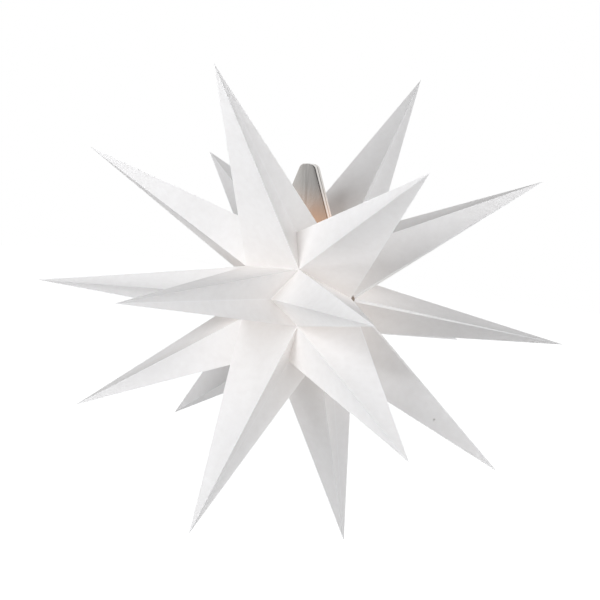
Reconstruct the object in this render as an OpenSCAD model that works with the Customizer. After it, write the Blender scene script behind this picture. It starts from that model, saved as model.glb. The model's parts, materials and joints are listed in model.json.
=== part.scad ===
// Folding paper advent star with eighteen points, hung by its closing plates.
// The sheet opens like a book round a level axis, X. Six leaves stand round
// that axis, and each leaf carries one middle point and one point to each side.
// The first and last leaf meet at the top, where two metal plates clamp their
// tabs. The origin is the mouth of the cord tube between the plates, +Z is up.

/* [Star] */
// Reach of the middle points from the star's centre
middle_reach = 290; // [270:5:300]
// Reach of the points on the right side, +X
right_reach = 276; // [255:3:285]
// Reach of the points on the left side, -X
left_reach = 284; // [255:3:285]
// Lean of the right points away from the middle ones, degrees
right_lean = 52; // [50:1:54]
// Lean of the left points away from the middle ones, degrees
left_lean = 53; // [51:1:55]

/* [Folds] */
// Distance of the valley corners from the fold axis
corner_radius = 66; // [63:1:69]
// Distance of the right valley corners from the middle
corner_right = 37; // [35:1:39]
// Distance of the left valley corners from the middle
corner_left = 40; // [38:1:42]
// Distance of the valley corners from the axis at the closing seam
closing_radius = 48; // [46:1:50]
// Distance of the notches between two points of a leaf from the axis
notch_radius = 81; // [78:1:84]
// Distance of the notches from the middle
notch_side = 19; // [17:1:21]
// Distance of the right pole, where all the leaves meet, from the middle
pole_right = 62; // [60:1:64]
// Distance of the left pole from the middle
pole_left = 64; // [62:1:66]
// Radius of the small hole left at each pole
pole_hole = 3.5; // [3.2:0.1:4]
// Least thickness of the card in the modelled sheet
card = 0.4; // [0.4:0.1:0.6]

/* [Closing plates] */
// Height of the plates' top edge above the star's centre
plate_top = 136; // [132:1:140]
// Height of the plates' bottom edge above the star's centre
plate_foot = 56; // [54:1:58]
// Half of the plates' width at the bottom, before the corners are rounded
plate_foot_half = 43; // [41:1:44]
// Half of the plates' width at the top, before the corners are rounded
plate_top_half = 9; // [8:1:11]
// Radius of the plates' corners
plate_corner = 7; // [5:1:8]
// Thickness of the plates' sheet metal
plate_sheet = 0.8; // [0.6:0.1:0.9]
// Depth of the plates' turned rim, with the sheet
plate_rim = 4.2; // [3.8:0.1:4.3]
// Distance between the outer faces of the two plates
plates_across = 9; // [8.8:0.1:9.4]
// How far the star's centre sits to the right of the plates' middle line
star_shift = 8; // [6:0.5:9]

/* [Lamp] */
// Bore of the cord tube
tube_bore = 5; // [4.6:0.2:5]
// Outer diameter of the lampholder
holder_d = 28; // [27:0.5:30]
// Diameter of the bulb's ball
bulb_d = 45; // [40:1:45]

/* [Hidden] */
$fa = 4;
$fs = 0.3;
// A cut starts this far before the face that it goes through, and ends past it
cut = 1;

// Turn of each leaf round the fold axis, from the closing seam at the top
leaf_turns = [36, 92, 147, 201, 259, 324];
leaves = len(leaf_turns);
// The star was folded by hand, so its points and valleys drift a little. Each
// point has a pair for its turn and its lean, in degrees, one for each leaf
middle_drift = [[1.5, 0.5], [-0.5, -0.5], [-0.5, 0], [-0.5, -0.5], [0, 0], [0, 0.5]];
right_drift = [[-1, 0], [0.5, 0.5], [-0.5, 0], [0, -0.5], [0, -1.5], [-0.5, 0]];
left_drift = [[1.5, 0], [0.5, 0.5], [-2.5, -1], [0.5, 0], [0, 0], [1.5, 1]];
// Each valley has a drift of its turn, in degrees, and each of its corners a
// pair for the distance from the axis and from the middle. The closing seam,
// first and last in the lists, has none, because the plates hold it straight
seam_drift = [0, 1, -2, -0.5, 0.5, -4.5, 0];
right_corner_drift = [[0, 0], [3, 1], [-2, 0], [-2, -8], [-7, -5], [-9, -5], [0, 0]];
left_corner_drift = [[0, 0], [-6, -1], [-2, -2], [2, -6], [0, 0], [0, 0], [0, 0]];

tab = 0.5;
tab_face = plates_across / 2 - plate_sheet - tab;
tab_inset = 1.5;
// The sheet's edges stand back a little from the faces of the tabs
seam_gap = tab_face + 0.1;
pole_gap = 1;
// The tabs start in the middle of the sheet's thickness at the closing seam
tab_foot = closing_radius - 0.5;
// The sheet's inside is its outside shrunk about the star's centre. The facets
// nearest to the centre lie this far from it, so there the wall is card thick
nearest_facet = 19;
shrink = 1 - card / nearest_facet;
// Vertices in the flat list: seven for each leaf, then four for each seam
per_leaf = 7;
per_seam = 4;
skin = leaves * per_leaf + (leaves + 1) * per_seam;

screw_r = 1.5;
screw_hole_r = 1.6;
screw_x = 26;
screw_z = 72;
screw_head_r = 2.8;
screw_head_h = 1.6;
screw_slot = 0.7;
screw_slot_deep = 0.8;
screw_past_nut = 0.6;
nut_across = 5.5;
nut_h = 2.4;
spacer_r = 3;

tube_r = tab_face;
tube_foot = 36;
collar_z = 42;
collar_h = 4;
lock_nut_h = 3;
tube_nut_across = 12;

holder_wall = 1.6;
holder_foot = -4;
holder_shelf = 15.5;
insert_z = 18;
body_top = 26;
spigot_h = 4;
spigot_r = holder_d / 2 - 2 * holder_wall + 0.4;
cap_round = 6;
pin_hole_r = 1.2;
pin_hole_x = 6;
shell_r = 7;
shell_sheet = 0.5;
shell_room = 1;
shell_stop = 2;
contact_z = 15;
contact_sheet = 0.6;
contact_r = 2.5;
rivet_r = 1;
bulb_z = -30;
bulb_neck_r = 10;
bulb_cap_top = 13.5;
button_foot_r = 5;
button_r = 2;

// A place at x along the fold axis, at distance r from it, turned by angle a
function around(x, r, a) = [x, -r * sin(a), r * cos(a)];

// The tip of a point: leaning by an angle from the middle row, and its drift
function tip_place(reach, lean, a, drift) = let (full_lean = lean + drift[1])
    around(reach * sin(full_lean), reach * cos(full_lean), a + drift[0]);

// Mirrors a place to the left side of the star
function to_left(place) = [-place[0], place[1], place[2]];

// Turn of seam j: the closing seam's two sides stand at half the tabs' gap
function seam_turn(j, r, gap) =
    j == 0 ? asin(gap / r)
    : j == leaves ? 360 - asin(gap / r)
    : (leaf_turns[j - 1] + leaf_turns[j]) / 2 + seam_drift[j];

// A valley corner of seam j, at x and moved by its drift
function valley_corner(j, x, drift) =
    let (r = (j == 0 || j == leaves) ? closing_radius : corner_radius + drift[0])
    around(x + drift[1], r, seam_turn(j, r, seam_gap));

// The seven vertices of leaf k: its three tips, two notches and two pole ends
function leaf_points(k) = let (a = leaf_turns[k]) [
    tip_place(middle_reach, 0, a, middle_drift[k]),
    tip_place(right_reach, right_lean, a, right_drift[k]),
    to_left(tip_place(left_reach, left_lean, a, left_drift[k])),
    around(notch_side, notch_radius, a),
    around(-notch_side, notch_radius, a),
    around(pole_right, pole_hole, a),
    around(-pole_left, pole_hole, a)
];

// The four vertices of seam j: two valley corners and two pole ends
function seam_points(j) = let (pole_turn = seam_turn(j, pole_hole, pole_gap)) [
    valley_corner(j, corner_right, right_corner_drift[j]),
    to_left(valley_corner(j, corner_left, left_corner_drift[j])),
    around(pole_right, pole_hole, pole_turn),
    around(-pole_left, pole_hole, pole_turn)
];

function leaf_index(k, i) = k * per_leaf + i;
function seam_index(j, i) = leaves * per_leaf + j * per_seam + i;

// The triangles of leaf k, each seen clockwise from outside
function leaf_faces(k) = let (
    tip = leaf_index(k, 0), tip_r = leaf_index(k, 1), tip_l = leaf_index(k, 2),
    notch_r = leaf_index(k, 3), notch_l = leaf_index(k, 4),
    pole_r = leaf_index(k, 5), pole_l = leaf_index(k, 6),
    ar = seam_index(k, 0), al = seam_index(k, 1), apr = seam_index(k, 2), apl = seam_index(k, 3),
    br = seam_index(k + 1, 0), bl = seam_index(k + 1, 1),
    bpr = seam_index(k + 1, 2), bpl = seam_index(k + 1, 3)
) [
    [tip, al, ar], [tip, br, bl],
    [tip, ar, notch_r], [tip, notch_r, br], [tip, bl, notch_l], [tip, notch_l, al],
    [notch_r, ar, tip_r], [notch_r, tip_r, br], [notch_l, tip_l, al], [notch_l, bl, tip_l],
    [tip_r, ar, apr], [tip_r, apr, pole_r], [tip_r, pole_r, bpr], [tip_r, bpr, br],
    [tip_l, apl, al], [tip_l, pole_l, apl], [tip_l, bpl, pole_l], [tip_l, bl, bpl]
];

// The sheet's free edge, once round: closing seam, right pole, closing seam, left pole
function free_edge() = concat(
    [seam_index(0, 1), seam_index(0, 0), seam_index(0, 2)],
    [for (k = [0 : leaves - 1]) each [leaf_index(k, 5), seam_index(k + 1, 2)]],
    [seam_index(leaves, 0), seam_index(leaves, 1), seam_index(leaves, 3)],
    [for (k = [leaves - 1 : -1 : 0]) each [leaf_index(k, 6), seam_index(k, 3)]]
);

function flipped(faces) = [for (f = faces) [f[2] + skin, f[1] + skin, f[0] + skin]];
function edge_faces(edge) = [for (i = [0 : len(edge) - 1])
    let (u = edge[i], v = edge[(i + 1) % len(edge)]) each [[v, u, u + skin], [v, u + skin, v + skin]]
];

module folded_sheet() {
    outside = concat(
        [for (k = [0 : leaves - 1]) each leaf_points(k)],
        [for (j = [0 : leaves]) each seam_points(j)]
    );
    faces = [for (k = [0 : leaves - 1]) each leaf_faces(k)];
    polyhedron(
        points = concat(outside, outside * shrink),
        faces = concat(faces, flipped(faces), edge_faces(free_edge())),
        convexity = 10
    );
}

// Outline of a closing plate, drawn with x across and y up
module plate_outline() {
    offset(r = plate_corner) offset(delta = -plate_corner)
        polygon([
            [-plate_foot_half, plate_foot], [plate_foot_half, plate_foot],
            [plate_top_half, plate_top], [-plate_top_half, plate_top]
        ]);
}

// Stands a flat drawing upright, with its extrusion running towards -Y from y
module upright(y) {
    translate([0, y, 0]) rotate([90, 0, 0]) children();
}

module screw_holes() {
    for (side = [-1, 1])
        translate([side * screw_x, screw_z, -plates_across])
            cylinder(r = screw_hole_r, h = 2 * plates_across);
}

// One plate with its rim turned towards the other one. The rim stops at the
// bottom, where the tabs come in, and at the cord tube
module closing_plate() {
    difference() {
        union() {
            linear_extrude(plate_sheet) plate_outline();
            linear_extrude(plate_rim) difference() {
                plate_outline();
                offset(delta = -plate_sheet) plate_outline();
                translate([-plate_foot_half, 0]) square([2 * plate_foot_half, plate_foot + plate_corner]);
                translate([-tube_r, plate_foot]) square([2 * tube_r, plate_top]);
            }
        }
        screw_holes();
    }
}

// The leaf's end tab, that the plate is fixed to. It rises from the closing
// seam's two corners and follows the plate's outline, a little inside it
module end_tab() {
    seam_left = star_shift - corner_left;
    seam_width = corner_left + corner_right;
    difference() {
        linear_extrude(tab) intersection() {
            offset(delta = -tab_inset) hull() {
                plate_outline();
                translate([seam_left, tab_foot - 2 * tab_inset])
                    square([seam_width, 2 * tab_inset]);
            }
            translate([-plate_foot_half, tab_foot])
                square([plate_foot_half + seam_left + seam_width, plate_top]);
        }
        screw_holes();
    }
}

module paper_star() {
    color([0.95, 0.95, 0.96]) translate([0, 0, -plate_top]) union() {
        translate([star_shift, 0, 0]) folded_sheet();
        upright(-tab_face) end_tab();
        upright(tab_face + tab) end_tab();
    }
}

module closing_plate_front() {
    color([0.68, 0.66, 0.64]) translate([0, 0, -plate_top])
        mirror([0, 1, 0]) upright(plates_across / 2) closing_plate();
}

module closing_plate_back() {
    color([0.68, 0.66, 0.64]) translate([0, 0, -plate_top])
        upright(plates_across / 2) closing_plate();
}

// Puts a fastener that is drawn along +Z, from 0, on the line of a closing screw
module at_screw(side, y) {
    translate([side * screw_x, y, screw_z - plate_top]) rotate([-90, 0, 0]) children();
}

module spacer(side) {
    color([0.72, 0.72, 0.74]) at_screw(side, -tab_face) difference() {
        cylinder(r = spacer_r, h = 2 * tab_face);
        translate([0, 0, -cut]) cylinder(r = screw_hole_r, h = 2 * (tab_face + cut));
    }
}

// A cheese-head screw with one slot across its head
module screw(side) {
    length = plates_across + nut_h + screw_past_nut;
    color([0.72, 0.72, 0.74]) at_screw(side, -plates_across / 2) difference() {
        union() {
            translate([0, 0, -screw_head_h]) cylinder(r = screw_head_r, h = screw_head_h);
            cylinder(r = screw_r, h = length);
        }
        translate([-screw_head_r, -screw_slot / 2, -screw_head_h - cut])
            cube([2 * screw_head_r, screw_slot, screw_slot_deep + cut]);
    }
}

module hex_nut(across, height, bore_r) {
    difference() {
        cylinder(d = across / cos(30), h = height, $fn = 6);
        translate([0, 0, -cut]) cylinder(r = bore_r, h = height + 2 * cut);
    }
}

module nut(side) {
    color([0.72, 0.72, 0.74]) at_screw(side, plates_across / 2) hex_nut(nut_across, nut_h, screw_r);
}

module spacer_left() { spacer(-1); }
module spacer_right() { spacer(1); }
module screw_left() { screw(-1); }
module screw_right() { screw(1); }
module nut_left() { nut(-1); }
module nut_right() { nut(1); }

// Puts a lamp part at height z above the star's centre
module lamp_at(z) {
    translate([0, 0, z - plate_top]) children();
}

module cord_tube() {
    color([0.75, 0.75, 0.77]) lamp_at(tube_foot) difference() {
        cylinder(r = tube_r, h = plate_top - tube_foot);
        translate([0, 0, -cut]) cylinder(d = tube_bore, h = plate_top - tube_foot + 2 * cut);
    }
}

module tube_collar() {
    color([0.75, 0.75, 0.77]) lamp_at(collar_z) hex_nut(tube_nut_across, collar_h, tube_r);
}

module tube_lock_nut() {
    color([0.75, 0.75, 0.77]) lamp_at(collar_z - holder_wall - lock_nut_h)
        hex_nut(tube_nut_across, lock_nut_h, tube_r);
}

// A domed cap: a quarter round joins its flat top to its side
module lampholder_cap() {
    r = holder_d / 2;
    h = collar_z - body_top;
    color([0.93, 0.92, 0.9]) lamp_at(body_top) rotate_extrude() difference() {
        union() {
            square([r, h - cap_round]);
            square([r - cap_round, h]);
            translate([r - cap_round, h - cap_round]) intersection() {
                circle(r = cap_round);
                square(cap_round);
            }
        }
        square([spigot_r, h - cap_round + cut]);
        square([r - cap_round, h - holder_wall]);
        square([tube_r, h + cut]);
    }
}

// A plain barrel with a shelf for the insert and a spigot for the cap
module lampholder_body() {
    r = holder_d / 2;
    bore_r = r - 2 * holder_wall;
    full_height = body_top + spigot_h - holder_foot;
    color([0.93, 0.92, 0.9]) lamp_at(holder_foot) difference() {
        union() {
            cylinder(r = r, h = body_top - holder_foot);
            cylinder(r = spigot_r, h = full_height);
        }
        translate([0, 0, -cut]) cylinder(r = bore_r, h = holder_shelf - holder_foot + cut);
        translate([0, 0, -cut]) cylinder(r = shell_r + shell_sheet + shell_room, h = full_height);
        translate([0, 0, insert_z - holder_foot]) cylinder(r = bore_r, h = full_height);
    }
}

// A solid puck with two holes for the ends of the wires
module contact_insert() {
    r = holder_d / 2 - 2 * holder_wall;
    height = body_top - insert_z;
    color([0.9, 0.9, 0.88]) lamp_at(insert_z) difference() {
        cylinder(r = r, h = height);
        for (side = [-1, 1])
            translate([side * pin_hole_x, 0, -cut]) cylinder(r = pin_hole_r, h = height + 2 * cut);
    }
}

module screw_shell() {
    length = insert_z - holder_foot - shell_stop;
    color([0.83, 0.68, 0.38]) lamp_at(insert_z - length) difference() {
        cylinder(r = shell_r + shell_sheet, h = length);
        translate([0, 0, -cut]) cylinder(r = shell_r, h = length + 2 * cut);
    }
}

module centre_contact() {
    color([0.83, 0.68, 0.38]) lamp_at(contact_z) union() {
        cylinder(r = contact_r, h = contact_sheet);
        cylinder(r = rivet_r, h = insert_z - contact_z);
    }
}

// The bulb is one sealed piece: ball, neck, screw cap and contact button
module bulb() {
    neck_z = bulb_z + sqrt(pow(bulb_d / 2, 2) - pow(bulb_neck_r, 2));
    color([0.98, 0.93, 0.82]) lamp_at(0) union() {
        translate([0, 0, bulb_z]) sphere(d = bulb_d);
        translate([0, 0, neck_z - cut])
            cylinder(r1 = bulb_neck_r, r2 = shell_r, h = holder_foot - neck_z + cut);
        translate([0, 0, holder_foot - cut])
            cylinder(r = shell_r, h = bulb_cap_top - holder_foot + cut);
        translate([0, 0, bulb_cap_top])
            cylinder(r1 = button_foot_r, r2 = button_r, h = contact_z - bulb_cap_top);
    }
}

paper_star();
closing_plate_front();
closing_plate_back();
spacer_left();
spacer_right();
screw_left();
screw_right();
nut_left();
nut_right();
cord_tube();
tube_collar();
tube_lock_nut();
lampholder_cap();
lampholder_body();
contact_insert();
screw_shell();
centre_contact();
bulb();
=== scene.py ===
# %% [markdown]
# A folding paper star, dressed for its picture.
#
# The imported part gives the real sizes and holds every piece in its place. This
# script keeps those places, models the folded card and the polished plates
# anew, and gives each surface its finish. All lengths are in metres.

# %% Load the frame
import json
import math

import bmesh
import bpy
from mathutils import Matrix, Vector, noise


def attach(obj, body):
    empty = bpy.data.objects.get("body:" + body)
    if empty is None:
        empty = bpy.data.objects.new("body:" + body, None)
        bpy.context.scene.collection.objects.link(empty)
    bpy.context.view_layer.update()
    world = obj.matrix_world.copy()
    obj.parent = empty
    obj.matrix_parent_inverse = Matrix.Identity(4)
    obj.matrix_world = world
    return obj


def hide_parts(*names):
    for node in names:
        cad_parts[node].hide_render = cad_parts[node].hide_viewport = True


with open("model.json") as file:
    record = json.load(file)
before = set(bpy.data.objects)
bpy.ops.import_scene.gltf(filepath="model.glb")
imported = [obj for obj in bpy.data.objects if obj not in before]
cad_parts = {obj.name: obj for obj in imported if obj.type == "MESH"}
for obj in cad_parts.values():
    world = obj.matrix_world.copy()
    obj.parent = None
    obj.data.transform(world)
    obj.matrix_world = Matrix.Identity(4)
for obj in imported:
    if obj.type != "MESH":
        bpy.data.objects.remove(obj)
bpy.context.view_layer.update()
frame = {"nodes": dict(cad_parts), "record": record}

# %% [markdown]
# The camera comes first, because every later choice is judged through it.
# A long lens stands two and a half metres off, a little above the star's
# middle. The star hangs a few degrees out of plumb in the picture, so the
# camera is rolled instead of the star. The small shift centres the frame.

# %% The star's centre and the camera
STAR_CENTRE = Vector((0.008, 0, -0.136))
TO_CAMERA = Vector((0.6205, -0.7812, 0.0697))
SCREEN_UP = Vector((-0.1020, 0.0077, 0.9948))
CAMERA_DISTANCE = 2.549
LENS_MM = 145.7
FRAME_SHIFT = (-0.0102, -0.0107)


def add_camera():
    """Aims a camera at the star's centre, rolled so that SCREEN_UP is up."""
    back = TO_CAMERA.normalized()
    right = SCREEN_UP.cross(back).normalized()
    up = back.cross(right)
    camera = bpy.data.objects.new("camera", bpy.data.cameras.new("camera"))
    turn = Matrix((right, up, back)).transposed().to_4x4()
    camera.matrix_world = Matrix.Translation(STAR_CENTRE + back * CAMERA_DISTANCE) @ turn
    camera.data.lens = LENS_MM
    camera.data.shift_x, camera.data.shift_y = FRAME_SHIFT
    camera.data.clip_end = 60
    bpy.context.scene.collection.objects.link(camera)
    bpy.context.scene.camera = camera
    return camera


camera = add_camera()
print("camera at", [round(v, 3) for v in camera.location])

# %% [markdown]
# A finish is a small net of nodes. These helpers make a material with its
# Principled shader, add a node with its settings in one call, and join two
# sockets, so that each finish below reads as a short list of steps.


# %% Helpers for materials
def new_finish(name, roughness, metallic=0.0):
    """A material with a Principled shader; the plain values go on its own sockets."""
    finish = bpy.data.materials.new(name)
    finish.use_nodes = True
    shader = finish.node_tree.nodes["Principled BSDF"]
    shader.inputs["Roughness"].default_value = roughness
    shader.inputs["Metallic"].default_value = metallic
    return finish, finish.node_tree, shader


def add_node(tree, kind, settings=None, **values):
    """Adds a node, sets its properties, then its inputs by name."""
    node = tree.nodes.new(kind)
    for key, value in (settings or {}).items():
        setattr(node, key, value)
    for key, value in values.items():
        node.inputs[key.replace("_", " ")].default_value = value
    return node


def two_tones(tree, mask, dark, light):
    """A colour ramp from dark to light along a mask."""
    ramp = tree.nodes.new("ShaderNodeValToRGB")
    ramp.color_ramp.elements[0].color = (*dark, 1)
    ramp.color_ramp.elements[1].color = (*light, 1)
    tree.links.new(mask, ramp.inputs["Fac"])
    return ramp


def add_bump(tree, shader, height, strength, distance):
    """Feeds a height through a Bump node into the shader's normal."""
    bump = add_node(tree, "ShaderNodeBump", Strength=strength, Distance=distance)
    tree.links.new(height, bump.inputs["Height"])
    tree.links.new(bump.outputs["Normal"], shader.inputs["Normal"])


def new_group(name, inputs, outputs):
    """An empty node group; inputs are (name, value), outputs are (name, type)."""
    group = bpy.data.node_groups.new(name, "ShaderNodeTree")
    for label, value in inputs:
        socket = group.interface.new_socket(label, in_out="INPUT", socket_type="NodeSocketFloat")
        socket.default_value = value
    for label, kind in outputs:
        group.interface.new_socket(label, in_out="OUTPUT", socket_type=kind)
    return group, group.nodes.new("NodeGroupInput"), group.nodes.new("NodeGroupOutput")


def use_group(tree, group, **values):
    """Places a group in a material with its own values."""
    node = tree.nodes.new("ShaderNodeGroup")
    node.node_tree = group
    for key, value in values.items():
        node.inputs[key.replace("_", " ")].default_value = value
    return node


print("material helpers ready")

# %% [markdown]
# Real surfaces are never one flat tone. A grain group mixes a broad cloudy
# noise with a fine one and gives out a tone mask and a height. The card, the
# metal and the lampholder all use it, each with its own scale.


# %% The grain group
def build_grain():
    """Tone and Height from a broad and a fine noise on Object coordinates."""
    inputs = [("Broad Scale", 20.0), ("Fine Scale", 600.0), ("Stretch", 1.0)]
    outputs = [("Tone", "NodeSocketFloat"), ("Height", "NodeSocketFloat")]
    group, given, result = new_group("grain", inputs, outputs)
    place = group.nodes.new("ShaderNodeTexCoord")
    stretch = group.nodes.new("ShaderNodeCombineXYZ")
    group.links.new(given.outputs["Stretch"], stretch.inputs["X"])
    stretch.inputs["Y"].default_value = 1.0
    stretch.inputs["Z"].default_value = 1.0
    scaled = add_node(group, "ShaderNodeVectorMath", {"operation": "MULTIPLY"})
    group.links.new(place.outputs["Object"], scaled.inputs[0])
    group.links.new(stretch.outputs["Vector"], scaled.inputs[1])
    for label, output, detail in (("Broad Scale", "Tone", 3.0), ("Fine Scale", "Height", 5.0)):
        cloud = add_node(group, "ShaderNodeTexNoise", Detail=detail, Roughness=0.6)
        group.links.new(scaled.outputs["Vector"], cloud.inputs["Vector"])
        group.links.new(given.outputs[label], cloud.inputs["Scale"])
        group.links.new(cloud.outputs["Fac"], result.inputs[output])
    return group


grain = build_grain()
print("grain group has", len(grain.nodes), "nodes")

# %% [markdown]
# The bulb sits within the star. Its light through the card is painted on as
# an emission glow, strongest close to the bulb, so the deep folds look warm.
# A second group measures the distance from the bulb and fades this painted
# glow's mask from one near it to nought further out.

# %% The painted glow group
BULB_CENTRE = Vector((0, 0, -0.166))


def build_painted_glow():
    """Mask for the painted glow: 1 within Near of the bulb's centre and 0 past Far."""
    inputs = [("Near", 0.05), ("Far", 0.15)]
    group, given, result = new_group("painted_glow", inputs, [("Mask", "NodeSocketFloat")])
    place = group.nodes.new("ShaderNodeTexCoord")
    distance = add_node(group, "ShaderNodeVectorMath", {"operation": "DISTANCE"})
    distance.inputs[1].default_value = BULB_CENTRE
    group.links.new(place.outputs["Object"], distance.inputs[0])
    fade = add_node(group, "ShaderNodeMapRange", {"interpolation_type": "SMOOTHSTEP"})
    fade.inputs["To Min"].default_value = 1.0
    fade.inputs["To Max"].default_value = 0.0
    group.links.new(distance.outputs["Value"], fade.inputs["Value"])
    group.links.new(given.outputs["Near"], fade.inputs["From Min"])
    group.links.new(given.outputs["Far"], fade.inputs["From Max"])
    group.links.new(fade.outputs["Result"], result.inputs["Mask"])
    return group


painted_glow = build_painted_glow()
print("warmth group has", len(painted_glow.nodes), "nodes")

# %% [markdown]
# White lantern card is matt and a little uneven. Two clouds of noise drift its
# tone, one as broad as a hand and one as small as a fingertip, and a fine tooth
# roughens its surface. Along each fold a thin line stands a little proud and is
# painted a touch lighter: partly the card's opened fibres, partly a painted
# highlight on the crease. The mesh gives every corner its distance to the three
# folds around its facet, and the finish takes the least.

# %% The card finish
CARD_SHADE = (0.865, 0.842, 0.826)
CARD_LIGHT = (0.905, 0.886, 0.872)
# Fold line colour: partly opened fibres, partly a painted highlight on the crease
CARD_FOLD_HIGHLIGHT = (0.93, 0.92, 0.912)
FOLD_HALF = 0.0007
# Painted glow: emission on the card near the bulb, in place of its light through the card
PAINTED_GLOW_COLOUR = (0.096, 0.086, 0.078)
SPECK_PLACE = Vector((0.1584, 0.0367, -0.2513))
SPECK_RADIUS = 0.0013
SPECK_COLOUR = (0.16, 0.12, 0.09)
SPECK_RAGGED = 900.0
HAND_SCALE, FINGER_SCALE = 9.0, 130.0
TOOTH_SCALE = 1100.0
DRIFT_FROM, DRIFT_TO = 0.38, 0.62
FOLD_RISE = 0.6


def fold_mask(tree):
    """1 on a fold, fading to 0 at FOLD_HALF from it."""
    given = add_node(tree, "ShaderNodeAttribute", {"attribute_name": "fold_distance"})
    split = tree.nodes.new("ShaderNodeSeparateXYZ")
    tree.links.new(given.outputs["Vector"], split.inputs["Vector"])
    least = split.outputs["X"]
    for other in ("Y", "Z"):
        pair = add_node(tree, "ShaderNodeMath", {"operation": "MINIMUM"})
        tree.links.new(least, pair.inputs[0])
        tree.links.new(split.outputs[other], pair.inputs[1])
        least = pair.outputs["Value"]
    fade = add_node(tree, "ShaderNodeMapRange", From_Max=FOLD_HALF, To_Min=1.0, To_Max=0.0)
    tree.links.new(least, fade.inputs["Value"])
    return fade.outputs["Result"]


def speck_mask(tree):
    """1 inside a small ragged fleck of dust, 0 elsewhere."""
    place = tree.nodes.new("ShaderNodeTexCoord")
    ragged = add_node(tree, "ShaderNodeTexNoise", Scale=SPECK_RAGGED, Detail=1.0)
    tree.links.new(place.outputs["Object"], ragged.inputs["Vector"])
    away = add_node(tree, "ShaderNodeVectorMath", {"operation": "DISTANCE"})
    away.inputs[1].default_value = SPECK_PLACE
    tree.links.new(place.outputs["Object"], away.inputs[0])
    reach = add_node(tree, "ShaderNodeMath", {"operation": "MULTIPLY"})
    reach.inputs[1].default_value = 2 * SPECK_RADIUS
    tree.links.new(ragged.outputs["Fac"], reach.inputs[0])
    inside = add_node(tree, "ShaderNodeMath", {"operation": "LESS_THAN"})
    tree.links.new(away.outputs["Value"], inside.inputs[0])
    tree.links.new(reach.outputs["Value"], inside.inputs[1])
    return inside.outputs["Value"]


def blend_colour(tree, mask, below, above):
    """Mixes a colour over another by a mask; either may be a socket or a value."""
    mix = add_node(tree, "ShaderNodeMix", {"data_type": "RGBA"})
    tree.links.new(mask, mix.inputs["Factor"])
    for colour, socket in ((below, mix.inputs[6]), (above, mix.inputs[7])):
        if isinstance(colour, tuple):
            socket.default_value = (*colour, 1)
        else:
            tree.links.new(colour, socket)
    return mix.outputs[2]


def mean_of(tree, first, second):
    """Half of one mask and half of another."""
    half = add_node(tree, "ShaderNodeMath", {"operation": "MULTIPLY"})
    half.inputs[1].default_value = 0.5
    tree.links.new(first, half.inputs[0])
    both = add_node(tree, "ShaderNodeMath", {"operation": "MULTIPLY_ADD"})
    both.inputs[1].default_value = 0.5
    tree.links.new(second, both.inputs[0])
    tree.links.new(half.outputs["Value"], both.inputs[2])
    return both.outputs["Value"]


def make_card():
    """Matt card with a drifting tone, a fine tooth, a painted highlight on its folds and a painted glow
    near the bulb.
    """
    finish, tree, shader = new_finish("lantern_card", roughness=0.85)
    broad = use_group(tree, grain, Broad_Scale=HAND_SCALE, Fine_Scale=TOOTH_SCALE)
    small = use_group(tree, grain, Broad_Scale=FINGER_SCALE, Fine_Scale=TOOTH_SCALE)
    both = mean_of(tree, broad.outputs["Tone"], small.outputs["Tone"])
    tone = two_tones(tree, both, CARD_SHADE, CARD_LIGHT)
    tone.color_ramp.elements[0].position = DRIFT_FROM
    tone.color_ramp.elements[1].position = DRIFT_TO
    fold = fold_mask(tree)
    # The fold line is painted lighter: partly fibres, partly a painted highlight on the crease
    folded = blend_colour(tree, fold, tone.outputs["Color"], CARD_FOLD_HIGHLIGHT)
    specked = blend_colour(tree, speck_mask(tree), folded, SPECK_COLOUR)
    tree.links.new(specked, shader.inputs["Base Color"])
    tooth = add_node(tree, "ShaderNodeMath", {"operation": "MULTIPLY_ADD"})
    tooth.inputs[1].default_value = FOLD_RISE
    tree.links.new(fold, tooth.inputs[0])
    tree.links.new(broad.outputs["Height"], tooth.inputs[2])
    add_bump(tree, shader, tooth.outputs["Value"], strength=0.3, distance=0.0003)
    # Painted glow: emission fading out from the bulb, in place of its light through the card
    near = use_group(tree, painted_glow, Near=0.045, Far=0.17)
    glow = two_tones(tree, near.outputs["Mask"], (0, 0, 0), PAINTED_GLOW_COLOUR)
    tree.links.new(glow.outputs["Color"], shader.inputs["Emission Color"])
    shader.inputs["Emission Strength"].default_value = 1.0
    shader.inputs["Specular IOR Level"].default_value = 0.25
    finish.cycles.emission_sampling = "NONE"
    return finish


card = make_card()
print("made", card.name)

# %% [markdown]
# The rest are hard finishes: polished sheet for the plates, plated steel for
# the fasteners, moulded plastic for the lampholder, brass for its contacts,
# and frosted glass with a metal cap for the bulb. The plates' feet are given a
# painted glow near the bulb, an emission in place of the warm folds they mirror.


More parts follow.
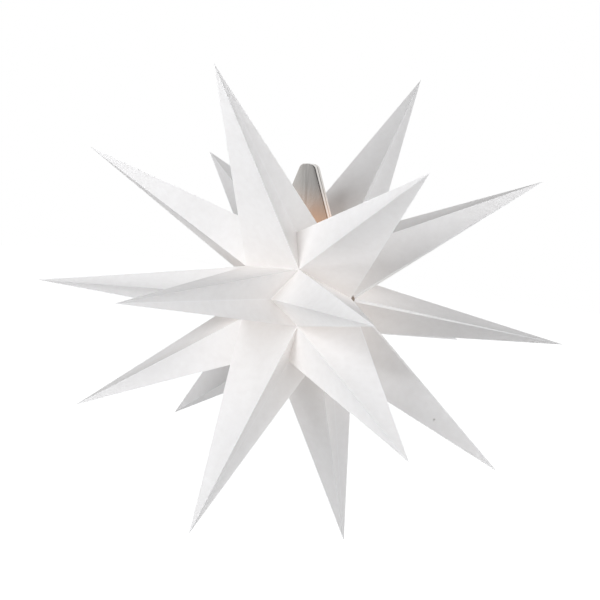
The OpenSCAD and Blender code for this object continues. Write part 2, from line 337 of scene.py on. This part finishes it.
# %% The hard finishes
def make_metal(name, dark, light, roughness, grain_scale, stretch=1.0, glow=None):
    """Metal whose tone and roughness drift along its grain; a painted glow, an emission, warms it near the
    bulb.
    """
    finish, tree, shader = new_finish(name, roughness, metallic=1.0)
    cloud = use_group(tree, grain, Broad_Scale=grain_scale, Fine_Scale=grain_scale * 20, Stretch=stretch)
    tone = two_tones(tree, cloud.outputs["Tone"], dark, light)
    tree.links.new(tone.outputs["Color"], shader.inputs["Base Color"])
    gloss = add_node(tree, "ShaderNodeMapRange")
    gloss.inputs["To Min"].default_value = roughness * 0.8
    gloss.inputs["To Max"].default_value = roughness * 1.25
    tree.links.new(cloud.outputs["Tone"], gloss.inputs["Value"])
    tree.links.new(gloss.outputs["Result"], shader.inputs["Roughness"])
    add_bump(tree, shader, cloud.outputs["Height"], strength=0.08, distance=0.0001)
    # Painted glow: emission near the bulb, standing in for reflected warm light
    if glow:
        near = use_group(tree, painted_glow, Near=0.10, Far=0.15)
        warm = two_tones(tree, near.outputs["Mask"], (0, 0, 0), glow)
        tree.links.new(warm.outputs["Color"], shader.inputs["Emission Color"])
        shader.inputs["Emission Strength"].default_value = 1.0
        finish.cycles.emission_sampling = "NONE"
    return finish


def make_moulding(name, dark, light):
    """Satin plastic or porcelain with a faint mottle."""
    finish, tree, shader = new_finish(name, roughness=0.42)
    cloud = use_group(tree, grain, Broad_Scale=60.0, Fine_Scale=1500.0)
    tone = two_tones(tree, cloud.outputs["Tone"], dark, light)
    tree.links.new(tone.outputs["Color"], shader.inputs["Base Color"])
    add_bump(tree, shader, cloud.outputs["Height"], strength=0.1, distance=0.0001)
    return finish


def make_bulb(cap_foot_z):
    """Lit frosted glass below cap_foot_z, and its screw cap's metal above it."""
    finish, tree, shader = new_finish("frosted_bulb", roughness=0.35)
    place = tree.nodes.new("ShaderNodeTexCoord")
    split = tree.nodes.new("ShaderNodeSeparateXYZ")
    tree.links.new(place.outputs["Object"], split.inputs["Vector"])
    above = add_node(tree, "ShaderNodeMath", {"operation": "GREATER_THAN"})
    above.inputs[1].default_value = cap_foot_z
    tree.links.new(split.outputs["Z"], above.inputs[0])
    tone = two_tones(tree, above.outputs["Value"], (0.95, 0.88, 0.72), (0.6, 0.58, 0.55))
    glow = two_tones(tree, above.outputs["Value"], (1.0, 0.62, 0.28), (0, 0, 0))
    tree.links.new(tone.outputs["Color"], shader.inputs["Base Color"])
    tree.links.new(above.outputs["Value"], shader.inputs["Metallic"])
    tree.links.new(glow.outputs["Color"], shader.inputs["Emission Color"])
    shader.inputs["Emission Strength"].default_value = 1.0
    return finish


BULB_CAP_FOOT = -0.140
PLATE_SHADE = (0.64, 0.60, 0.57)
PLATE_LIGHT = (0.79, 0.78, 0.76)
# Painted glow on the plates' feet, in place of the warm folds they mirror
PLATE_PAINTED_GLOW = (0.28, 0.12, 0.035)
finishes = {
    "paper": card,
    "plate_metal": make_metal("polished_sheet", PLATE_SHADE, PLATE_LIGHT, 0.17, 30.0, 6.0, PLATE_PAINTED_GLOW),
    "fastener_steel": make_metal("plated_steel", (0.52, 0.53, 0.55), (0.62, 0.63, 0.64), 0.3, 120.0),
    "contact_brass": make_metal("contact_brass", (0.62, 0.46, 0.2), (0.72, 0.56, 0.28), 0.32, 90.0),
    "lampholder_plastic": make_moulding("moulded_plastic", (0.8, 0.79, 0.75), (0.86, 0.85, 0.82)),
    "bulb_glass": make_bulb(BULB_CAP_FOOT),
}
print("finishes:", ", ".join(sorted(finishes)))

# %% [markdown]
# Every CAD node keeps its shape and takes the finish of its material slot.


# %% Dress the CAD nodes
def dress_nodes():
    """Puts the finish of its slot on each CAD node."""
    slots = {part["node"]: part["material_slot"] for part in frame["record"]["subparts"]}
    for name, node in frame["nodes"].items():
        node.data.materials.clear()
        node.data.materials.append(finishes[slots[name]])
    return len(slots)


print("dressed", dress_nodes(), "CAD nodes")

# %% [markdown]
# The star is one sheet of card. Six leaves stand round the level fold axis,
# and each leaf carries three points: one in the middle row and one leaning to
# each side. A leaf is three tips, two notches and two pole ends. Between two
# leaves runs a valley with four corners. Every corner follows from a distance
# along the axis, a radius and a turn, so one helper places them all.

# %% Sizes of the folded sheet
MIDDLE_REACH = 0.290
RIGHT_REACH, RIGHT_LEAN = 0.276, 52
LEFT_REACH, LEFT_LEAN = 0.284, 53
CORNER_RADIUS, CLOSING_RADIUS = 0.066, 0.048
CORNER_RIGHT, CORNER_LEFT = 0.037, 0.040
NOTCH_RADIUS, NOTCH_SIDE = 0.081, 0.019
POLE_RIGHT, POLE_LEFT, POLE_HOLE = 0.062, 0.064, 0.0035
LEAF_TURNS = [36, 92, 147, 201, 259, 324]
SEAM_GAP, POLE_GAP = 0.0033, 0.001
CARD_THICKNESS = 0.0004


def around(x, radius, turn):
    """A place at x along the fold axis, at a radius from it, turned round it."""
    angle = math.radians(turn)
    return STAR_CENTRE + Vector((x, -radius * math.sin(angle), radius * math.cos(angle)))


print("leaves:", len(LEAF_TURNS), "points:", 3 * len(LEAF_TURNS))

# %% [markdown]
# The real star was folded by hand, so no two of its points stand quite the
# same. These lists hold how far each point drifts in its turn and its lean, in
# degrees, and how far each valley drifts in its turn and its two corners, in
# millimetres. The closing seam has no drift, because the plates clamp it.

# %% The drift of a star that was folded by hand
MIDDLE_DRIFT = [(1.5, 0.5), (-0.5, -0.5), (-0.5, 0), (-0.5, -0.5), (0, 0), (0, 0.5)]
RIGHT_DRIFT = [(-1, 0), (0.5, 0.5), (-0.5, 0), (0, -0.5), (0, -1.5), (-0.5, 0)]
LEFT_DRIFT = [(1.5, 0), (0.5, 0.5), (-2.5, -1), (0.5, 0), (0, 0), (1.5, 1)]
SEAM_DRIFT = [0, 1, -2, -0.5, 0.5, -4.5, 0]
RIGHT_CORNER_DRIFT = [(0, 0), (3, 1), (-2, 0), (-2, -8), (-7, -5), (-9, -5), (0, 0)]
LEFT_CORNER_DRIFT = [(0, 0), (-6, -1), (-2, -2), (2, -6), (0, 0), (0, 0), (0, 0)]
MILLIMETRE = 0.001


def tip(side, reach, lean, turn, drift):
    """A tip on the left (-1) or right (1) side, leaning away from the middle row."""
    full_lean = math.radians(lean + drift[1])
    return around(side * reach * math.sin(full_lean), reach * math.cos(full_lean), turn + drift[0])


def seam_turn(seam, radius, gap):
    """A seam lies about midway between two leaves; the closing seam stands open by a gap."""
    if seam == 0:
        return math.degrees(math.asin(gap / radius))
    if seam == len(LEAF_TURNS):
        return -math.degrees(math.asin(gap / radius))
    return (LEAF_TURNS[seam - 1] + LEAF_TURNS[seam]) / 2 + SEAM_DRIFT[seam]


def valley_corner(side, seam, x, drift):
    """A corner at the end of a valley, moved by its drift."""
    closing = seam in (0, len(LEAF_TURNS))
    radius = CLOSING_RADIUS if closing else CORNER_RADIUS + drift[0] * MILLIMETRE
    return around(side * (x + drift[1] * MILLIMETRE), radius, seam_turn(seam, radius, SEAM_GAP))


print("largest drift of a valley:", max(abs(turn) for turn in SEAM_DRIFT), "degrees")

# %% [markdown]
# A leaf has 18 facets, each a triangle between three named corners. Naming the
# corners keeps the folding pattern readable: the facets on the left have the
# same names as those on the right with another ending, so they are mirrored
# by a rule instead of being written out again.

# %% The corners and facets of one leaf
def leaf_corners(leaf):
    """Names each corner of a leaf: its own seven, and four on each of its two seams."""
    turn = LEAF_TURNS[leaf]
    corners = {
        "tip": tip(1, MIDDLE_REACH, 0, turn, MIDDLE_DRIFT[leaf]),
        "tip_r": tip(1, RIGHT_REACH, RIGHT_LEAN, turn, RIGHT_DRIFT[leaf]),
        "tip_l": tip(-1, LEFT_REACH, LEFT_LEAN, turn, LEFT_DRIFT[leaf]),
        "notch_r": around(NOTCH_SIDE, NOTCH_RADIUS, turn),
        "notch_l": around(-NOTCH_SIDE, NOTCH_RADIUS, turn),
        "pole_r": around(POLE_RIGHT, POLE_HOLE, turn),
        "pole_l": around(-POLE_LEFT, POLE_HOLE, turn),
    }
    for side, seam in (("a", leaf), ("b", leaf + 1)):
        pole_turn = seam_turn(seam, POLE_HOLE, POLE_GAP)
        corners[side + "_r"] = valley_corner(1, seam, CORNER_RIGHT, RIGHT_CORNER_DRIFT[seam])
        corners[side + "_l"] = valley_corner(-1, seam, CORNER_LEFT, LEFT_CORNER_DRIFT[seam])
        corners[side + "_pole_r"] = around(POLE_RIGHT, POLE_HOLE, pole_turn)
        corners[side + "_pole_l"] = around(-POLE_LEFT, POLE_HOLE, pole_turn)
    return corners


# Right-hand facets, seen anticlockwise from outside; the left ones mirror them
FACETS_RIGHT = [
    ("tip", "notch_r", "a_r"), ("tip", "b_r", "notch_r"),
    ("notch_r", "tip_r", "a_r"), ("notch_r", "b_r", "tip_r"),
    ("tip_r", "a_pole_r", "a_r"), ("tip_r", "pole_r", "a_pole_r"),
    ("tip_r", "b_pole_r", "pole_r"), ("tip_r", "b_r", "b_pole_r"),
]
FACETS_MIDDLE = [("tip", "a_r", "a_l"), ("tip", "b_l", "b_r")]


def mirrored(facet):
    """The left-hand twin of a right-hand facet, with its order turned round."""
    return tuple(name.replace("_r", "_l") for name in reversed(facet))


facets = FACETS_MIDDLE + FACETS_RIGHT + [mirrored(facet) for facet in FACETS_RIGHT]
print("facets in a leaf:", len(facets))

# %% [markdown]
# Folded card isn't quite flat between its folds. Each facet is cut into small
# faces and its middle sinks a little towards the inside, most where the facet
# is wide, and a slow ripple moves it by a fraction of a millimetre. The folds
# stay where they are, so the outline doesn't change. Every corner of every
# small face keeps its distance to the three folds, for the card finish.

# %% How far a place lies from the folds
CUTS = 11
SAG_SHARE = 0.024
RIPPLE = 0.0004
RIPPLE_SCALE = 22


def fold_distances(place, corners):
    """A place's distances to the three sides of its facet, each opposite a corner."""
    sides = ((corners[1], corners[2]), (corners[2], corners[0]), (corners[0], corners[1]))
    return Vector([(end - place).cross(start - place).length / (end - start).length
                   for start, end in sides])


def sink_facets(mesh, facet_layer, outlines):
    """Sinks each facet's inner vertices along its normal; its folds stay put."""
    for vertex in mesh.verts:
        owners = {face[facet_layer] for face in vertex.link_faces}
        if len(owners) != 1 or owners == {-1}:
            continue
        corners = outlines[owners.pop()]
        away = fold_distances(vertex.co, corners)
        heights = [fold_distances(corners[i], corners)[i] for i in range(3)]
        # The product of the three shares is 1/27 in the facet's middle
        bulge = 27 * math.prod(away[i] / heights[i] for i in range(3))
        normal = (corners[1] - corners[0]).cross(corners[2] - corners[0]).normalized()
        narrow = min((corners[i] - corners[i - 1]).length for i in range(3))
        ripple = RIPPLE * (noise.noise(vertex.co * RIPPLE_SCALE) - 1)
        vertex.co += normal * bulge * (ripple - SAG_SHARE * narrow)


print("each facet is cut", CUTS, "times each way")

# %% [markdown]
# The sheet ends at the closing seam in two tabs, one behind each plate. They
# are the seam's own border, extruded upwards in three steps that follow the
# plates' outline a little inside it. A tab has one fold, at its foot; its other
# two distances are set to a metre, which is no fold at all.

# %% The end tabs
TAB_FACE = 0.00365
TAB_STEPS = [(0.066, 0.0371), (0.131, 0.0095), (0.1343, 0.005)]
NO_FOLD = 1


def raise_tab(mesh, side, facet_layer):
    """Extrudes the seam's border on one side of the fold axis up to the plate's top."""
    edges = []
    for edge in mesh.edges:
        ends = [vertex.co - STAR_CENTRE for vertex in edge.verts]
        level = all(abs(end.z - CLOSING_RADIUS) < 0.001 and end.y * side > 0 for end in ends)
        if level and edge.is_boundary:
            edges.append(edge)
    for z, half in TAB_STEPS:
        raised = bmesh.ops.extrude_edge_only(mesh, edges=edges)["geom"]
        edges = [part for part in raised if isinstance(part, bmesh.types.BMEdge) and part.is_boundary
                 and all(vertex in raised for vertex in part.verts)]
        for part in raised:
            if isinstance(part, bmesh.types.BMFace):
                part[facet_layer] = -1
            if isinstance(part, bmesh.types.BMVert):
                right = 1 if part.co.x > 0 else -1
                part.co = Vector((right * half, side * TAB_FACE, STAR_CENTRE.z + z))
        edges = [edge for edge in edges if abs(edge.verts[0].co.z - edge.verts[1].co.z) < 1e-6]
    return len(edges)

print("each tab rises in", len(TAB_STEPS), "steps")

# %% [markdown]
# Now the sheet is made. Every leaf's corners become vertices and its facets
# become faces, corners that meet are merged, the tabs are raised and every
# facet is cut small. The folds stay sharp and the rest is shaded smooth. A
# Solidify modifier then gives the sheet the thickness of card, inwards, so
# that the outside keeps the star's real size.

# %% Build the folded sheet
def build_sheet():
    """All the leaves in one mesh, joined along their valleys, with the two tabs."""
    mesh = bmesh.new()
    facet_layer = mesh.faces.layers.int.new("facet")
    distance_layer = mesh.loops.layers.float_vector.new("fold_distance")
    outlines = []
    for leaf in range(len(LEAF_TURNS)):
        corners = leaf_corners(leaf)
        verts = {name: mesh.verts.new(place) for name, place in corners.items()}
        for names in facets:
            face = mesh.faces.new([verts[name] for name in names])
            face[facet_layer] = len(outlines)
            outlines.append([corners[name] for name in names])
    bmesh.ops.remove_doubles(mesh, verts=mesh.verts, dist=1e-5)
    for side in (-1, 1):
        raise_tab(mesh, side, facet_layer)
    for edge in mesh.edges:
        edge.smooth = False
    bmesh.ops.subdivide_edges(mesh, edges=mesh.edges[:], cuts=CUTS, use_grid_fill=True)
    for face in mesh.faces:
        face.smooth = True
        for loop in face.loops:
            place = loop.vert.co
            if face[facet_layer] < 0:
                loop[distance_layer] = Vector((place.z - STAR_CENTRE.z - CLOSING_RADIUS, NO_FOLD, NO_FOLD))
            else:
                loop[distance_layer] = fold_distances(place, outlines[face[facet_layer]])
    sink_facets(mesh, facet_layer, outlines)
    return mesh


def add_piece(name, mesh, finish, slot, *nodes):
    """Makes a bmesh an object that rides on the part and replaces its CAD nodes."""
    data = bpy.data.meshes.new(name)
    mesh.to_mesh(data)
    mesh.free()
    data.materials.append(finish)
    piece = bpy.data.objects.new(name, data)
    bpy.context.scene.collection.objects.link(piece)
    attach(piece, "root")
    if nodes:
        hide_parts(*nodes)
    return piece


sheet = add_piece("folded_star_sheet", build_sheet(), card, "paper", "paper_star")
wall = sheet.modifiers.new("card", "SOLIDIFY")
wall.thickness = CARD_THICKNESS
wall.offset = -1
print("sheet has", len(sheet.data.polygons), "faces")

# %% [markdown]
# The plates are two shallow pans pressed from polished sheet, hung on the
# cord's own line: a tapered outline with round corners, and a rim turned
# towards the other pan along the top and the sides, so that only a thin gap
# parts them. The rim stops where the cord tube comes out and near the bottom,
# where the card goes in. The outline starts as four vertices whose corners are
# bevelled, the rim is its border, extruded, and the bend between them is
# bevelled round, as a press leaves it.

# %% Sizes of the closing plates
PLATE_MIDDLE = Vector((0, 0, STAR_CENTRE.z))
PLATE_TOP, PLATE_FOOT = 0.136, 0.056
PLATE_TOP_HALF, PLATE_FOOT_HALF = 0.009, 0.043
PLATE_CORNER, PLATE_BEND = 0.007, 0.0013
PLATE_SHEET, PLATE_RIM = 0.0008, 0.0042
PLATES_ACROSS = 0.009
TUBE_RADIUS = 0.0032
RIM_FOOT = PLATE_FOOT + PLATE_CORNER


def corner_cut(slope):
    """How far a round corner reaches along its sides, at the top and the bottom."""
    half_right = math.pi / 4
    return PLATE_CORNER * math.tan(half_right - slope / 2), PLATE_CORNER * math.tan(half_right + slope / 2)


print("plates are", PLATE_TOP - PLATE_FOOT, "m high and", PLATES_ACROSS, "m across the pair")


# %% [markdown]
# The face is sliced along both sides of the tube and at the foot of the rim, so
# that the border has a vertex wherever the rim begins or ends.

# %% Build the closing plates
def slice_plate(mesh):
    """Cuts the flat plate along the tube and at the rim's foot."""
    cuts = [(Vector((x, 0, 0)), Vector((1, 0, 0))) for x in (-TUBE_RADIUS, TUBE_RADIUS)]
    cuts.append((PLATE_MIDDLE + Vector((0, 0, RIM_FOOT)), Vector((0, 0, 1))))
    for place, normal in cuts:
        geometry = mesh.verts[:] + mesh.edges[:] + mesh.faces[:]
        bmesh.ops.bisect_plane(mesh, geom=geometry, plane_co=place, plane_no=normal)


def build_plate(side):
    """One plate: its flat front, then the rim turned towards the other plate."""
    slope = math.atan((PLATE_FOOT_HALF - PLATE_TOP_HALF) / (PLATE_TOP - PLATE_FOOT))
    top_cut, foot_cut = corner_cut(slope)
    face_y = side * PLATES_ACROSS / 2
    mesh = bmesh.new()
    outline = [(-PLATE_FOOT_HALF, PLATE_FOOT), (PLATE_FOOT_HALF, PLATE_FOOT),
               (PLATE_TOP_HALF, PLATE_TOP), (-PLATE_TOP_HALF, PLATE_TOP)]
    corners = [mesh.verts.new(PLATE_MIDDLE + Vector((x, face_y, z))) for x, z in outline]
    mesh.faces.new(corners if side < 0 else corners[::-1])
    for chosen, cut in ((corners[:2], foot_cut), (corners[2:], top_cut)):
        bmesh.ops.bevel(mesh, geom=chosen, offset=cut, segments=10, profile=0.5,
                        affect="VERTICES", material=-1)
    slice_plate(mesh)
    turn_rim(mesh, side)
    return mesh


def turn_rim(mesh, side):
    """Extrudes the border, apart from the foot and the tube's notch, and rounds the bend."""
    border = []
    for edge in mesh.edges:
        middle = (edge.verts[0].co + edge.verts[1].co) / 2 - PLATE_MIDDLE
        if edge.is_boundary and middle.z > RIM_FOOT and abs(middle.x) > TUBE_RADIUS:
            border.append(edge)
    rim = bmesh.ops.extrude_edge_only(mesh, edges=border)
    moved = [part for part in rim["geom"] if isinstance(part, bmesh.types.BMVert)]
    bmesh.ops.translate(mesh, verts=moved, vec=(0, -side * PLATE_RIM, 0))
    bend = [edge for edge in border if edge.is_valid]
    bmesh.ops.bevel(mesh, geom=bend, offset=PLATE_BEND, segments=5, profile=0.5,
                    affect="EDGES", material=-1)
    bmesh.ops.recalc_face_normals(mesh, faces=mesh.faces[:])
    front = max(mesh.faces, key=lambda face: face.normal.y ** 2 * face.calc_area())
    if front.normal.y * side < 0:
        bmesh.ops.reverse_faces(mesh, faces=mesh.faces[:])


def add_plate(name, side):
    """A plate with its sheet's thickness and softened edges."""
    plate = add_piece(name + "_pressing", build_plate(side), finishes["plate_metal"], "plate_metal", name)
    wall = plate.modifiers.new("sheet", "SOLIDIFY")
    wall.thickness = PLATE_SHEET
    wall.offset = -1
    rounding = plate.modifiers.new("rounding", "BEVEL")
    rounding.width = 0.0002
    rounding.segments = 2
    rounding.limit_method = "ANGLE"
    rounding.angle_limit = math.radians(60)
    for face in plate.data.polygons:
        face.use_smooth = True
    return plate


plates = [add_plate("closing_plate_front", -1), add_plate("closing_plate_back", 1)]
print("plates:", [plate.name for plate in plates])

# %% [markdown]
# The star hangs over a plain white floor, far enough below that its shadow
# stays soft. The floor adds light of its own, but only where the eye sees it,
# straight or in a mirror, and the world is white to the eye in the same way.
# Mirrors see a white sweep behind the star and a dark room behind the camera,
# which gives the polished plates their contrast. On the card the world casts
# only a dim, even light.

# %% Floor and world
FLOOR_Z = -1.25
FLOOR_HALF = 14
FLOOR_OWN_LIGHT = 0.92
WORLD_LIGHT = 0.22
SWEEP_FACING, DARK_FACING = -0.22, 0.6
DARK_SIDE = 0.08


def seen_rays(tree):
    """1 for rays that the eye follows: straight, mirrored or through glass."""
    path = tree.nodes.new("ShaderNodeLightPath")
    first = add_node(tree, "ShaderNodeMath", {"operation": "MAXIMUM"})
    both = add_node(tree, "ShaderNodeMath", {"operation": "MAXIMUM"})
    tree.links.new(path.outputs["Is Camera Ray"], first.inputs[0])
    tree.links.new(path.outputs["Is Glossy Ray"], first.inputs[1])
    tree.links.new(first.outputs["Value"], both.inputs[0])
    tree.links.new(path.outputs["Is Transmission Ray"], both.inputs[1])
    return both.outputs["Value"]


def add_floor():
    """A wide white floor that keeps the star's shadow."""
    finish, tree, shader = new_finish("white_floor", roughness=0.9)
    shader.inputs["Base Color"].default_value = (0.85, 0.85, 0.85, 1)
    shader.inputs["Specular IOR Level"].default_value = 0.0
    finish.cycles.emission_sampling = "NONE"
    own = add_node(tree, "ShaderNodeMath", {"operation": "MULTIPLY"})
    own.inputs[1].default_value = FLOOR_OWN_LIGHT
    tree.links.new(seen_rays(tree), own.inputs[0])
    light = tree.nodes.new("ShaderNodeEmission")
    tree.links.new(own.outputs["Value"], light.inputs["Strength"])
    both = tree.nodes.new("ShaderNodeAddShader")
    tree.links.new(shader.outputs["BSDF"], both.inputs[0])
    tree.links.new(light.outputs["Emission"], both.inputs[1])
    tree.links.new(both.outputs["Shader"], tree.nodes["Material Output"].inputs["Surface"])
    mesh = bmesh.new()
    bmesh.ops.create_grid(mesh, x_segments=1, y_segments=1, size=FLOOR_HALF,
                          matrix=Matrix.Translation((0, 0, FLOOR_Z)))
    data = bpy.data.meshes.new("floor")
    mesh.to_mesh(data)
    mesh.free()
    data.materials.append(finish)
    floor = bpy.data.objects.new("floor", data)
    bpy.context.scene.collection.objects.link(floor)
    return floor


def mirrored_room(tree):
    """What a mirror shows: a white sweep behind the star, a dark room behind the camera."""
    look = tree.nodes.new("ShaderNodeTexCoord")
    facing = add_node(tree, "ShaderNodeVectorMath", {"operation": "DOT_PRODUCT"})
    facing.inputs[1].default_value = TO_CAMERA
    tree.links.new(look.outputs["Generated"], facing.inputs[0])
    room = add_node(tree, "ShaderNodeMapRange", From_Min=SWEEP_FACING, From_Max=DARK_FACING,
                    To_Min=1.0, To_Max=DARK_SIDE)
    tree.links.new(facing.outputs["Value"], room.inputs["Value"])
    return room.outputs["Result"]


def light_world():
    """White where it is seen, the room in mirrors, and a dim even light on the star."""
    world = bpy.data.worlds.new("studio")
    world.use_nodes = True
    bpy.context.scene.world = world
    tree = world.node_tree
    background = tree.nodes["Background"]
    background.inputs["Color"].default_value = (1, 1, 1, 1)
    strength = add_node(tree, "ShaderNodeMapRange")
    strength.inputs["To Min"].default_value = WORLD_LIGHT
    strength.inputs["To Max"].default_value = 1.0
    tree.links.new(seen_rays(tree), strength.inputs["Value"])
    path = tree.nodes.new("ShaderNodeLightPath")
    choice = add_node(tree, "ShaderNodeMix", {"data_type": "FLOAT"})
    tree.links.new(path.outputs["Is Glossy Ray"], choice.inputs[0])
    tree.links.new(strength.outputs["Result"], choice.inputs[2])
    tree.links.new(mirrored_room(tree), choice.inputs[3])
    tree.links.new(choice.outputs[0], background.inputs["Strength"])


floor = add_floor()
light_world()
print(floor.name, "at", FLOOR_Z)

# %% [markdown]
# Soft lamps stand round the star. Two are close, before it and on its left, so
# the points that come forward are brighter than those behind. A broad one
# stands low on the left, where a pale table would throw light back, and weaker
# ones fill the right and the back. Each is named by where it stands as the
# camera sees it: so far to the right, so far up and so far towards the camera.
# Mirrors don't show the lamps, so the bends of the plates stay dark.

# %% Lamps
LAMP_SPREAD = 0.63
LAMP_COLOUR = (0.945, 0.968, 1.0)
LAMPS = {
    "near_front": ((0.05, 0.1, 1.0), 1.2, 1.1),
    "near_left": ((-0.8, 0.4, 1.0), 1.2, 7.5),
    "low_left": ((-0.8, -0.7, 0.8), 2.6, 40.5),
    "front_right": ((0.8, 0.4, 1.0), 2.6, 15.4),
    "right": ((1.0, 0.1, 0.25), 2.6, 16.7),
    "back_right": ((0.8, 0.3, -1.0), 2.6, 14.0),
    "back_left": ((-0.8, 0.3, -1.0), 2.6, 7.0),
}


def add_lamp(name, seat, distance, power):
    """A square soft lamp aimed at the star's centre."""
    right, up, back = camera.matrix_world.to_3x3().transposed()
    way = (right * seat[0] + up * seat[1] + back * seat[2]).normalized()
    lamp = bpy.data.objects.new(name, bpy.data.lights.new(name, "AREA"))
    lamp.data.size = distance * LAMP_SPREAD
    lamp.data.color = LAMP_COLOUR
    lamp.data.energy = power
    lamp.visible_glossy = False
    turn = way.to_track_quat("Z", "Y").to_matrix().to_4x4()
    lamp.matrix_world = Matrix.Translation(STAR_CENTRE + way * distance) @ turn
    bpy.context.scene.collection.objects.link(lamp)
    return lamp


lamps = [add_lamp(name, *values) for name, values in LAMPS.items()]
bpy.context.scene.view_settings.view_transform = "Standard"
print("lamps:", [lamp.name for lamp in lamps])

# %% [markdown]

# %% The end
print("done")
